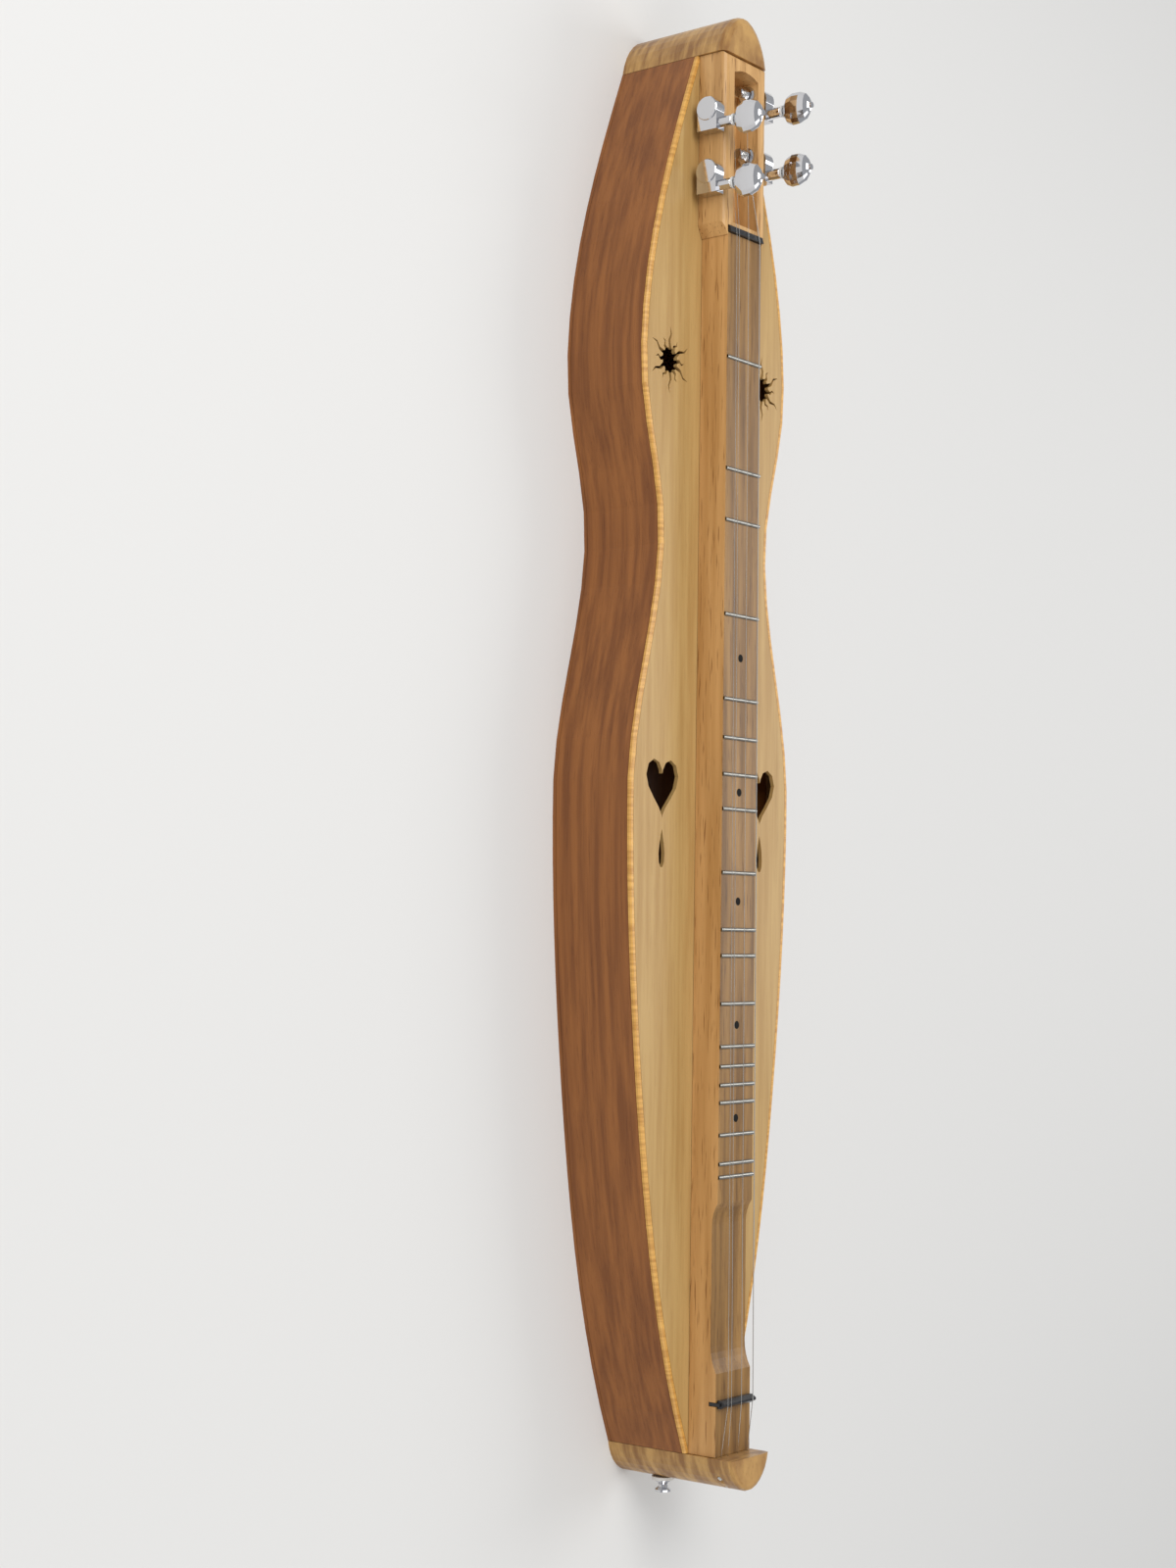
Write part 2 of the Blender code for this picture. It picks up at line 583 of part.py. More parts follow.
def make_fretboard():
    """The fretboard with its pressed-in frets, scoop and bridge slot, hollowed from below."""
    low = BODY_HEIGHT + GAP
    back = -NUT_THICKNESS - GAP
    profile = [(back, low), (back, TOP - NUT_SEAT), (GAP, TOP - NUT_SEAT), (GAP, TOP)]
    half = FRET_CROWN_WIDTH / 2
    shoulder = TOP + FRET_CROWN_HEIGHT * 0.75
    for semitone in FRET_SEMITONES:
        centre = fret_station(semitone)
        profile += [(centre - half, TOP), (centre - half * 0.6, shoulder), (centre, TOP + FRET_CROWN_HEIGHT),
                    (centre + half * 0.6, shoulder), (centre + half, TOP)]
    profile += scoop_points()
    seat = BRIDGE_TONGUE / 2 + GAP
    deep = TOP - BRIDGE_SEAT
    profile += [(BRIDGE_STATION - seat, TOP), (BRIDGE_STATION - seat, deep),
                (BRIDGE_STATION + seat, deep), (BRIDGE_STATION + seat, TOP)]
    profile += [(TAIL_END - GAP, TOP), (TAIL_END - GAP, low)]
    board = prism("fretboard", [(along(s), z) for s, z in profile], -HALF_BOARD, HALF_BOARD, BOARD_WOOD, axis="Y")
    channel = rectangle(along(CHANNEL_END), along(CHANNEL_START), -CHANNEL_WIDTH / 2, CHANNEL_WIDTH / 2)
    combine(board, prism("channel_cutter", channel, BODY_HEIGHT - GAP, low + CHANNEL_DEPTH, BOARD_WOOD))


def make_nut_and_bridge():
    """Nut on its ledge, sloping down behind, and the bridge with its tongue in the board."""
    reach = HALF_BOARD - GAP
    seat = TOP - NUT_SEAT + GAP
    nut = [(along(0), seat), (along(-NUT_THICKNESS), seat),
           (along(-NUT_THICKNESS), TOP + NUT_FALL), (along(0), TOP + NUT_RISE)]
    prism("nut", nut, -reach, reach, BLACK, axis="Y")
    x = along(BRIDGE_STATION)
    tongue = BRIDGE_TONGUE / 2
    base = TOP + GAP
    mid = base + BRIDGE_RISE * 0.45
    crown = base + BRIDGE_RISE
    foot = rectangle(x - tongue, x + tongue, TOP - BRIDGE_SEAT + GAP, mid)
    bridge = prism("bridge", foot, -reach, reach, BLACK, axis="Y")
    saddle = [(x - BRIDGE_WIDTH / 2, base), (x + BRIDGE_WIDTH / 2, base), (x + BRIDGE_WIDTH / 2, mid),
              (x + BRIDGE_CREST / 2, crown), (x - BRIDGE_CREST / 2, crown), (x - BRIDGE_WIDTH / 2, mid)]
    inner = reach - BRIDGE_END_INSET
    combine(bridge, prism("bridge_saddle", saddle, -inner, inner, BLACK, axis="Y"), "UNION")


def slot_outline():
    """Plan of the pegbox slot: straight walls and a low arch at the head end."""
    half = SLOT_WIDTH / 2
    near = along(-SLOT_NUT_WALL)
    far = along(HEAD_END + SLOT_HEAD_WALL)
    points = [(near, half), (near, -half)]
    for share in np.linspace(-1, 1, 7):
        points.append((far - SLOT_ARC_RISE * share ** 2, half * share))
    return points


def make_pegbox():
    """The pegbox block on the soundboard: two cheeks, a slot between them and tuner bores."""
    near = HALF_BOARD + GAP
    butt = -NUT_THICKNESS - 2 * GAP
    upper = [(HEAD_END + GAP, CHEEK_Y), (-CHEEK_STEP_START, CHEEK_Y),
             (CHEEK_STEP_END, near + GAP), (CHEEK_STEP_END, near), (butt, near)]
    outline = [(along(s), y) for s, y in upper] + [(along(s), -y) for s, y in reversed(upper)]
    box = prism("pegbox", outline, BODY_HEIGHT + GAP, TOP, BOARD_WOOD)
    work = bmesh.new()
    work.from_mesh(box.data)
    edges = [e for e in work.edges if all(abs(v.co.z - TOP) < 1e-6 and abs(abs(v.co.y) - CHEEK_Y) < 1e-6
                                          for v in e.verts)]
    bmesh.ops.bevel(work, geom=edges, offset=CHEEK_ROUND, segments=3, profile=0.5, affect="EDGES")
    work.to_mesh(box.data)
    work.free()
    floor = TOP - SLOT_DEPTH
    combine(box, prism("slot_cutter", slot_outline(), floor, TOP + SLOT_DEPTH, BOARD_WOOD))
    bores = []
    spans = []
    for side, station in zip(TUNER_SIDE, TUNER_STATION):
        bores.append(disc((along(station), POST_Z), FERRULE_COLLAR + GAP, 16))
        reach = sorted((side * (CHEEK_Y + GAP), side * (CHEEK_Y - CHEEK_WALL - GAP)))
        spans.append(tuple(reach))
    combine(box, prisms("tuner_bore_cutter", bores, spans, BOARD_WOOD, axis="Y"))


def gear_outline(hand):
    """Worm gear seen along its axis, with a gap between teeth facing the worm."""
    points = []
    for tooth in range(GEAR_TEETH):
        centre = 2 * math.pi * (tooth + 0.5) / GEAR_TEETH
        root = TOOTH_ROOT / 2 / GEAR_ROOT_RADIUS
        tip = TOOTH_TIP / 2 / GEAR_TIP_RADIUS
        for radius, shift in ((GEAR_ROOT_RADIUS, -root), (GEAR_TIP_RADIUS, -tip),
                              (GEAR_TIP_RADIUS, tip), (GEAR_ROOT_RADIUS, root)):
            angle = centre + shift
            points.append((hand * radius * math.cos(angle), radius * math.sin(angle)))
    return points


def worm_thread(name, hand, parent, place):
    """The worm's thread: a trapezoid carried round a right-hand helix, its mesh point at height 0."""
    facing = -hand * math.pi / 2
    steps = WORM_THREAD_TURNS * 12
    inside = WORM_ROOT_RADIUS - 2 * GAP
    verts = []
    for step in range(steps + 1):
        turn = WORM_THREAD_TURNS * (step / steps - 0.5)
        angle = facing + 2 * math.pi * turn
        height = WORM_PITCH * turn
        for radius, shift in ((inside, -TOOTH_ROOT / 2), (WORM_TIP_RADIUS, -TOOTH_TIP / 2),
                              (WORM_TIP_RADIUS, TOOTH_TIP / 2), (inside, TOOTH_ROOT / 2)):
            verts.append((radius * math.cos(angle), radius * math.sin(angle), height + shift))
    return make(name, verts, grid_faces(steps + 1, 4), CHROME, parent=parent, place=place)


def pivot(name, place, turn, parent=None):
    """An empty on a joint's axis."""
    made = bpy.data.objects.new(name, None)
    made.location = place
    made.rotation_euler = (0, 0, turn)
    made.parent = parent
    bpy.context.scene.collection.objects.link(made)
    return made


def make_housing(prefix, hand, base):
    """Tuner housing: a round cap over the gear, a box over the worm and a neck for its shaft."""
    cap_height = WORM_LIFT + WORM_TIP_RADIUS + RUNNING_CLEARANCE + 2 * HOUSING_WALL
    box_height = cap_height - HOUSING_WALL
    rim = HOUSING_WALL / 2
    cap = [(CAP_RADIUS, GAP), (CAP_RADIUS, cap_height - rim), (CAP_RADIUS - rim, cap_height)]
    housing = turned(prefix + "_housing", cap, 24, CHROME, axis="X", parent=base, smooth_angle=40)
    far = hand * (WORM_OFFSET + WORM_TIP_RADIUS + RUNNING_CLEARANCE + HOUSING_WALL)
    plan = rectangle(min(0, far), max(0, far), -HOUSING_HALF_WIDTH, HOUSING_HALF_WIDTH)
    combine(housing, prism(prefix + "_housing_box", plan, GAP, box_height, CHROME, axis="X", parent=base), "UNION")
    axis = (WORM_LIFT, hand * WORM_OFFSET, 0)
    neck = [(NECK_RADIUS, HOUSING_HALF_WIDTH - HOUSING_WALL), (NECK_RADIUS, NECK_END - rim),
            (NECK_RADIUS - rim, NECK_END)]
    combine(housing, turned(prefix + "_neck", neck, 16, CHROME, parent=base, place=axis), "UNION")
    cavity_top = WORM_LIFT + WORM_TIP_RADIUS + RUNNING_CLEARANCE
    hollow = disc((0, 0), GEAR_CAVITY_RADIUS, 24)
    combine(housing, prism(prefix + "_gear_cavity", hollow, -GAP, cavity_top, CHROME, axis="X", parent=base))
    inner = hand * (WORM_OFFSET - WORM_TIP_RADIUS - RUNNING_CLEARANCE)
    outer = hand * (WORM_OFFSET + WORM_TIP_RADIUS + RUNNING_CLEARANCE)
    plan = rectangle(min(inner, outer), max(inner, outer), -CAVITY_HALF_LENGTH, CAVITY_HALF_LENGTH)
    combine(housing, prism(prefix + "_worm_cavity", plan, -GAP, cavity_top, CHROME, axis="X", parent=base))
    bore = [(SHAFT_RADIUS + RUNNING_CLEARANCE, 0), (SHAFT_RADIUS + RUNNING_CLEARANCE, NECK_END + GAP)]
    combine(housing, turned(prefix + "_neck_bore", bore, 16, CHROME, parent=base, place=axis))


def make_button(prefix, spin):
    """The finger button: flat ovals up the shaft, a screw head on top and a blind bore below."""
    shares = ((0.00, 0.34), (0.05, 0.52), (0.16, 0.82), (0.36, 1.00), (0.62, 0.98), (0.84, 0.80), (0.96, 0.52),
              (1.00, 0.34))
    rings = [(BUTTON_START + BUTTON_LENGTH * share, BUTTON_HALF_THICKNESS * min(1.0, size * 1.15),
              BUTTON_HALF_WIDTH * size) for share, size in shares]
    head = BUTTON_SCREW_RADIUS
    rings += [(BUTTON_END + GAP, head, head), (BUTTON_END + BUTTON_SCREW_HEIGHT, head, head)]
    verts = []
    for height, thick, wide in rings:
        for step in range(16):
            angle = 2 * math.pi * step / 16
            verts.append((thick * math.cos(angle), wide * math.sin(angle), height))
    button = make(prefix + "_button", verts, grid_faces(len(rings), 16), CHROME, smooth_angle=50, parent=spin)
    middle = BUTTON_START + BUTTON_LENGTH * 0.6
    bore = [(SHAFT_RADIUS + GAP, BUTTON_START - GAP), (SHAFT_RADIUS + GAP, middle)]
    combine(button, turned(prefix + "_button_bore", bore, 12, CHROME, parent=spin))
    return middle


def make_tuner(prefix, side, station):
    """One tuner: housing, worm shaft, gear, post, button and screw on their two axes."""
    turn = side * math.pi / 2
    hand = side
    base = pivot(prefix + "_post_axis", (along(station), side * CHEEK_Y, POST_Z), turn)
    spin = pivot(prefix + "_knob_axis", (WORM_LIFT, hand * WORM_OFFSET, 0), 0, base)
    make_housing(prefix, hand, base)

    gear_low = WORM_LIFT - GEAR_THICKNESS / 2
    gear_high = WORM_LIFT + GEAR_THICKNESS / 2
    stub = POST_RADIUS * 0.7
    gear = prism(prefix + "_gear", gear_outline(hand), gear_low, gear_high, BRASS, axis="X", parent=base)
    eye = prism(prefix + "_gear_eye", disc((0, 0), stub + GAP, 12), gear_low - GAP, gear_high + GAP, BRASS,
                axis="X", parent=base)
    combine(gear, eye)
    tip = -POST_REACH
    post = [(POST_FLANGE_RADIUS * 0.8, tip), (POST_FLANGE_RADIUS, tip + 0.0004), (POST_FLANGE_RADIUS, tip + 0.0011),
            (POST_WAIST_RADIUS, WAIST_END), (POST_WAIST_RADIUS, WAIST_START),
            (POST_FLANGE_RADIUS, POST_SHOULDER - 0.0005), (POST_FLANGE_RADIUS, POST_SHOULDER),
            (POST_RADIUS, POST_SHOULDER), (POST_RADIUS, gear_low - GAP), (stub, gear_low - GAP),
            (stub, gear_high + GAP)]
    turned(prefix + "_post", post, 16, CHROME, axis="X", parent=base, smooth_angle=40)

    middle = make_button(prefix, spin)
    worm = [(SHAFT_RADIUS, -CAVITY_HALF_LENGTH + GAP), (SHAFT_RADIUS, -WORM_PITCH * 1.85),
            (WORM_ROOT_RADIUS, -WORM_PITCH * 1.80), (WORM_ROOT_RADIUS, WORM_PITCH * 1.80),
            (SHAFT_RADIUS, WORM_PITCH * 1.85), (SHAFT_RADIUS, middle - GAP)]
    shaft = turned(prefix + "_worm_shaft", worm, 12, CHROME, parent=spin)
    combine(shaft, worm_thread(prefix + "_thread", hand, spin, (0, 0, 0)), "UNION")

    bore = POST_RADIUS + RUNNING_CLEARANCE
    face = -(CHEEK_WALL + GAP)
    rim = face - FERRULE_THICKNESS
    ferrule = [(bore, -GAP), (FERRULE_COLLAR, -GAP), (FERRULE_COLLAR, face), (FERRULE_RADIUS, face),
               (FERRULE_RADIUS, rim + 0.0008), (FERRULE_RADIUS * 0.8, rim), (bore, rim)]
    turned(prefix + "_ferrule", ferrule, 16, CHROME, axis="X", ring=True, parent=base, smooth_angle=40)
    eye = SHAFT_RADIUS + GAP
    washer = [(eye, NECK_END + GAP), (NECK_RADIUS + GAP, NECK_END + GAP), (NECK_RADIUS + GAP, WASHER_END),
              (eye, WASHER_END)]
    turned(prefix + "_washer", washer, 16, NYLON, ring=True, parent=spin, smooth_angle=40)


def sweep(name, points, radii, sides, reference, finish):
    """A round solid along a path, square to it, with its radius given at each point."""
    points = np.asarray(points, float)
    heading = np.gradient(points, axis=0)
    heading /= np.linalg.norm(heading, axis=1)[:, None]
    across = np.cross(heading, reference)
    across /= np.linalg.norm(across, axis=1)[:, None]
    up = np.cross(across, heading)
    angle = 2 * np.pi * np.arange(sides) / sides
    ring = np.cos(angle)[None, :, None] * across[:, None] + np.sin(angle)[None, :, None] * up[:, None]
    verts = points[:, None] + np.asarray(radii)[:, None, None] * ring
    return make(name, verts.reshape(-1, 3), grid_faces(len(points), sides), finish, smooth_angle=60)


def string_parts(index):
    """Points of a string from its ball to its post, and of its winding on the post."""
    radius = STRING_RADIUS[index]
    side = TUNER_SIDE[index]
    station = TUNER_STATION[index]
    coil = POST_WAIST_RADIUS + GAP + radius
    pitch = 2 * radius + WINDING_SELF_GAP
    coil_y = side * (CHEEK_Y + WAIST_START - radius - GAP)
    nut = np.array((along(0), STRING_NUT_Y[index], TOP + NUT_RISE + GAP + radius))
    centre = np.array((along(station), POST_Z))
    reach = nut[[0, 2]] - centre
    distance = math.hypot(*reach)
    heading = math.atan2(reach[1], reach[0])
    lift = math.acos(coil / distance)
    contact = heading - lift
    touch = np.array((centre[0] + coil * math.cos(contact), coil_y, centre[1] + coil * math.sin(contact)))
    run = (touch - nut) / np.linalg.norm(touch - nut)
    begin = touch - run * 2 * radius

    tail_y = STRING_TAIL_Y[index]
    ball = string_exit(tail_y) - BALL_RADIUS
    bridge = (along(BRIDGE_STATION), STRING_BRIDGE_Y[index], TOP + BRIDGE_RISE + 2 * GAP + radius)
    route = [(along(ball - BALL_RADIUS - GAP), tail_y, STRING_TAIL_Z),
             (along(TAIL_END + 4 * radius), tail_y, STRING_TAIL_Z), bridge, tuple(nut),
             tuple(begin - run * GAP)]

    count = WINDING_TURNS * WINDING_POINTS
    steps = np.arange(count + 1)
    angle = contact - 2 * np.pi * steps / WINDING_POINTS
    helix = np.stack((centre[0] + coil * np.cos(angle),
                      coil_y - side * pitch * steps / WINDING_POINTS,
                      centre[1] + coil * np.sin(angle)), axis=1)
    leave = helix[-1] - helix[-2]
    end = helix[-1] + leave / np.linalg.norm(leave) * 2 * radius
    winding = np.vstack((begin, helix, end))
    return route, winding, helix


def self_gap(points, radius, turn_points):
    """Least distance between turns of one tube, less its own diameter."""
    apart = np.linalg.norm(points[:, None] - points[None], axis=2)
    index = np.arange(len(points))
    far = np.abs(index[:, None] - index[None]) >= turn_points // 2
    return float(apart[far].min()) - 2 * radius


def make_strings():
    """Four strings, each with its ball end, and their windings on the posts."""
    for index, name in enumerate(STRING_NAMES):
        route, winding, helix = string_parts(index)
        radius = STRING_RADIUS[index]
        centre = along(string_exit(STRING_TAIL_Y[index]) - BALL_RADIUS)
        turns = np.radians((160, 140, 110, 80, 50, 20))
        ball = [(centre + BALL_RADIUS * math.cos(t), STRING_TAIL_Y[index], STRING_TAIL_Z) for t in turns]
        radii = [BALL_RADIUS * math.sin(t) for t in turns] + [radius] * len(route)
        sweep(name + "_string", ball + route, radii, 8, (0, 0, 1), STEEL)
        sweep(name + "_winding", winding, [radius] * len(winding), 6, (0, 1, 0), STEEL)
        print(name, "winding self gap mm", round(self_gap(helix, radius, WINDING_POINTS) * 1000, 3))


def make_strap_button():
    """Strap button with its felt washer and screw on the tail block."""
    axis = (0, 0, STRAP_HEIGHT)
    low = along(TAIL_TIP + GAP)
    thick = STRAP_WASHER_THICKNESS
    eye = STRAP_SCREW_RADIUS + GAP
    washer = [(eye, low), (STRAP_WASHER_RADIUS, low), (STRAP_WASHER_RADIUS, low - thick), (eye, low - thick)]
    turned("strap_washer", washer, 20, FELT, axis="X", ring=True, place=axis, smooth_angle=40)
    start = along(STRAP_START)
    long = STRAP_BUTTON_LENGTH
    wide = STRAP_BUTTON_RADIUS
    head = STRAP_SCREW_RADIUS * 1.9
    body = [(eye, start), (wide * 0.9, start), (wide * 0.9, start - long * 0.12), (wide * 0.55, start - long * 0.4),
            (wide * 0.6, start - long * 0.6), (wide, start - long * 0.8), (wide * 0.95, start - long),
            (head + GAP, start - long), (eye, start - long * 0.7)]
    turned("strap_button", body, 20, CHROME, axis="X", ring=True, place=axis, smooth_angle=40)
    end = start - long
    screw = [(STRAP_SCREW_RADIUS, end + STRAP_SCREW_LENGTH), (STRAP_SCREW_RADIUS, start - long * 0.7),
             (head - GAP, end + GAP)]
    turned("strap_screw", screw, 12, CHROME, axis="X", place=axis)


make_body()
make_blocks()
make_fretboard()
make_nut_and_bridge()
make_pegbox()
for tuner_name, tuner_side, tuner_station in zip(STRING_NAMES, TUNER_SIDE, TUNER_STATION):
    make_tuner(tuner_name + "_tuner", tuner_side, tuner_station)
make_strings()
make_strap_button()
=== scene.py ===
# %% [markdown]
# # Mountain dulcimer
# A mountain dulcimer is a long shallow box with a raised fretboard down its middle, four strings over it
# and four geared tuners at its head. Its solids come packed as one fixed frame, and each keeps its shape
# and place. This script gives each one its finish, adds the fret wires and position dots, and sets floor,
# light and camera. Blender opens with a cube, a lamp and a camera of its own, so these are removed first.

import json
import math

import bpy
import numpy as np
from mathutils import Matrix, Vector

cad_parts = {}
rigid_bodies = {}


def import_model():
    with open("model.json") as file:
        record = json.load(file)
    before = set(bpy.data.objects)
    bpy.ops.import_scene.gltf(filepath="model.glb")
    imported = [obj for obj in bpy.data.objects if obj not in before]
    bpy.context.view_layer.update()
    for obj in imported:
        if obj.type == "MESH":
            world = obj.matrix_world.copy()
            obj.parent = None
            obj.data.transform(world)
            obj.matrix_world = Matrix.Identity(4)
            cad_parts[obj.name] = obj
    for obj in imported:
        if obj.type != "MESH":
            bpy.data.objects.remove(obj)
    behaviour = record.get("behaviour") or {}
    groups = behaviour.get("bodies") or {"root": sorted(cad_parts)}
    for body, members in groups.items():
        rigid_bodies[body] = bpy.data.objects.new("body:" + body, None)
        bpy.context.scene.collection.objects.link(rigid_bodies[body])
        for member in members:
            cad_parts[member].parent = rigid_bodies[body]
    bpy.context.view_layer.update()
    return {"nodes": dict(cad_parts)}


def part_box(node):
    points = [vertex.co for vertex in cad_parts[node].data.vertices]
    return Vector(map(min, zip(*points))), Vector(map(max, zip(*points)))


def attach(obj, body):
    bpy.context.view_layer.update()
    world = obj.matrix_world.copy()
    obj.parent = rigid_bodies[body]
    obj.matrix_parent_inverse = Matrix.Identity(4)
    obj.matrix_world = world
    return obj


for stale in list(bpy.data.objects):
    bpy.data.objects.remove(stale, do_unlink=True)

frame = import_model()
nodes = frame["nodes"]

# %% [markdown]
# ## Places that the added pieces share with the solids
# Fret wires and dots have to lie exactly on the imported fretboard. Each place could be typed in, but on a
# real instrument they all follow from the scale length, so they are worked out from it. The nut's face
# towards the tail and the board's half width are read from their solids. The board's own box also holds
# the ridges under its frets, so its top is read from the pegbox, which is level with it.

# %% Shared places
SCALE_LENGTH = 0.7239
FRET_SEMITONES = (2, 4, 5, 7, 9, 10, 11, 12, 14, 16, 17, 19, 21, 22, 23, 24, 26, 28, 29)
DOT_SPACES = ((7, 9), (11, 12), (14, 16), (19, 21), (24, 26))
NUT_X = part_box("nut")[0].x
BOARD_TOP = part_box("pegbox")[1].z
HALF_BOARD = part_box("fretboard")[1].y


def fret_x(semitones):
    """World x of a fret, or of an array of them: nut minus L (1 - 2^(-n/12))."""
    return NUT_X - SCALE_LENGTH * (1 - 2 ** (-semitones / 12))


print("nut at x", round(NUT_X, 4), "board top at z", round(BOARD_TOP, 4))

# %% [markdown]
# ## Small shader helpers
# Three kinds of node come back in every wood: a noise, a range that stretches its middle values to full
# contrast, and a mix of two colours. A short function for each keeps the recipes below readable. The Mix
# node has sockets for all its data types, so its colour sockets are reached by number.

# %% Shader helpers
MIX_SHARE = 0
MIX_FIRST = 6
MIX_SECOND = 7
MIX_COLOUR = 2


def noise(tree, place, scale, detail):
    """Noise from 0 to 1 at place times scale, summed over detail + 1 ever finer layers."""
    made = tree.nodes.new("ShaderNodeTexNoise")
    made.inputs["Scale"].default_value = scale
    made.inputs["Detail"].default_value = detail
    tree.links.new(place, made.inputs["Vector"])
    return made.outputs["Fac"]


def spread(tree, value, limits):
    """(value - low) / (high - low), held between 0 and 1."""
    made = tree.nodes.new("ShaderNodeMapRange")
    made.inputs["From Min"].default_value = limits[0]
    made.inputs["From Max"].default_value = limits[1]
    tree.links.new(value, made.inputs["Value"])
    return made.outputs["Result"]


def colour_mix(tree, share, first):
    """A Mix node for first (1 - share) + second share, whose second colour is still to be set."""
    made = tree.nodes.new("ShaderNodeMix")
    made.data_type = "RGBA"
    tree.links.new(share, made.inputs[MIX_SHARE])
    tree.links.new(first, made.inputs[MIX_FIRST])
    return made


print("helpers: noise, spread, colour_mix")

# %% [markdown]
# ## Wood grain
# Every wooden piece shows long streaks along its grain and small dark flecks. A picture of wood would blur
# close up and would need unwrapping, so the grain is worked out from noise on Object coordinates. They
# are multiplied by a stretch first: a small factor draws the streaks out in its direction, and a large
# one packs them tightly. One node group holds this recipe, and each wood gives it its own values.

# %% Grain group
STREAK_SCALE = 1.0
STREAK_DETAIL = 5.0
STREAK_RANGE = (0.36, 0.64)
FLECK_SCALE = 7.0
FLECK_DETAIL = 2.0
FLECK_RANGE = (0.60, 0.70)
FLECK_TINT = (0.35, 0.25, 0.18, 1.0)


def grain_group():
    """Colour = mix(light, dark, streaks), times the fleck tint where flecks lie; height = streaks."""
    group = bpy.data.node_groups.new("long_grain", "ShaderNodeTree")
    for word, kind in (("Light", "Color"), ("Dark", "Color"), ("Stretch", "Vector"), ("Flecks", "Float")):
        group.interface.new_socket(word, in_out="INPUT", socket_type="NodeSocket" + kind)
    group.interface.new_socket("Colour", in_out="OUTPUT", socket_type="NodeSocketColor")
    group.interface.new_socket("Height", in_out="OUTPUT", socket_type="NodeSocketFloat")
    link = group.links.new
    inside = group.nodes.new("NodeGroupInput")
    outside = group.nodes.new("NodeGroupOutput")
    where = group.nodes.new("ShaderNodeTexCoord")
    pulled = group.nodes.new("ShaderNodeVectorMath")
    pulled.operation = "MULTIPLY"
    link(where.outputs["Object"], pulled.inputs[0])
    link(inside.outputs["Stretch"], pulled.inputs[1])
    streaks = noise(group, pulled.outputs[0], STREAK_SCALE, STREAK_DETAIL)
    tones = colour_mix(group, spread(group, streaks, STREAK_RANGE), inside.outputs["Light"])
    link(inside.outputs["Dark"], tones.inputs[MIX_SECOND])
    flecks = noise(group, pulled.outputs[0], FLECK_SCALE, FLECK_DETAIL)
    amount = group.nodes.new("ShaderNodeMath")
    amount.operation = "MULTIPLY"
    link(spread(group, flecks, FLECK_RANGE), amount.inputs[0])
    link(inside.outputs["Flecks"], amount.inputs[1])
    darker = colour_mix(group, amount.outputs[0], tones.outputs[MIX_COLOUR])
    darker.blend_type = "MULTIPLY"
    darker.inputs[MIX_SECOND].default_value = FLECK_TINT
    link(darker.outputs[MIX_COLOUR], outside.inputs["Colour"])
    link(streaks, outside.inputs["Height"])
    return group


GRAIN = grain_group()
print("grain group:", len(GRAIN.nodes), "nodes")

# %% [markdown]
# ## Lacquered wood
# The real woods lie under a thin satin lacquer: the grain shows through it, and highlights are soft. A
# Principled BSDF gives that with a middling roughness and a faint coat, and a little bump from the grain's
# height breaks the highlights along the streaks. The fretboard's playing face is darker than its flanks,
# though both are one solid. A second material would need its faces picked by hand, so here the height of
# the true normal tells the faces that look up from the rest, and gives them other tones.

# %% Wood finish
TOP_FACING = (0.6, 0.9)
BUMP_STRENGTH = 0.06
BUMP_DISTANCE = 0.0005
LACQUER_SPECULAR = 0.3
LACQUER_COAT = 0.08
LACQUER_COAT_ROUGHNESS = 0.2


def grain_node(tree, tones, stretch, flecks):
    """One use of the grain group, with its own light and dark tones."""
    grain = tree.nodes.new("ShaderNodeGroup")
    grain.node_tree = GRAIN
    grain.inputs["Light"].default_value = (*tones[0], 1.0)
    grain.inputs["Dark"].default_value = (*tones[1], 1.0)
    grain.inputs["Stretch"].default_value = stretch
    grain.inputs["Flecks"].default_value = flecks
    return grain


def facing_up(tree):
    """0 on side and lower faces, 1 on faces that look up, from the height of the true normal."""
    facing = tree.nodes.new("ShaderNodeNewGeometry")
    parts = tree.nodes.new("ShaderNodeSeparateXYZ")
    tree.links.new(facing.outputs["True Normal"], parts.inputs[0])
    return spread(tree, parts.outputs["Z"], TOP_FACING)


def wood(name, tones, stretch, flecks, roughness, top=None):
    """Grain under a thin lacquer; top gives another pair of tones to the faces that look up."""
    made = bpy.data.materials.new(name)
    made.use_nodes = True
    tree = made.node_tree
    shader = tree.nodes["Principled BSDF"]
    grain = grain_node(tree, tones, stretch, flecks)
    colour = grain.outputs["Colour"]
    if top:
        upper = grain_node(tree, top, stretch, flecks)
        mix = colour_mix(tree, facing_up(tree), colour)
        tree.links.new(upper.outputs["Colour"], mix.inputs[MIX_SECOND])
        colour = mix.outputs[MIX_COLOUR]
    bump = tree.nodes.new("ShaderNodeBump")
    bump.inputs["Strength"].default_value = BUMP_STRENGTH
    bump.inputs["Distance"].default_value = BUMP_DISTANCE
    tree.links.new(grain.outputs["Height"], bump.inputs["Height"])
    tree.links.new(bump.outputs["Normal"], shader.inputs["Normal"])
    tree.links.new(colour, shader.inputs["Base Color"])
    shader.inputs["Roughness"].default_value = roughness
    shader.inputs["Specular IOR Level"].default_value = LACQUER_SPECULAR
    shader.inputs["Coat Weight"].default_value = LACQUER_COAT
    shader.inputs["Coat Roughness"].default_value = LACQUER_COAT_ROUGHNESS
    return made


print("the playing face's tones fade in between normal heights", TOP_FACING)

# %% [markdown]
# ## The woods
# Seven finishes share the recipe: red-brown sides and back, a pale soundboard, figured end blocks, a fine
# binding whose pattern crosses its length, the fretboard with its darker playing face, the pegbox, and
# the bare braces and linings inside. In each the stretch is (along, across, up) for a piece that lies
# along X, and the tones are a light and a dark one.

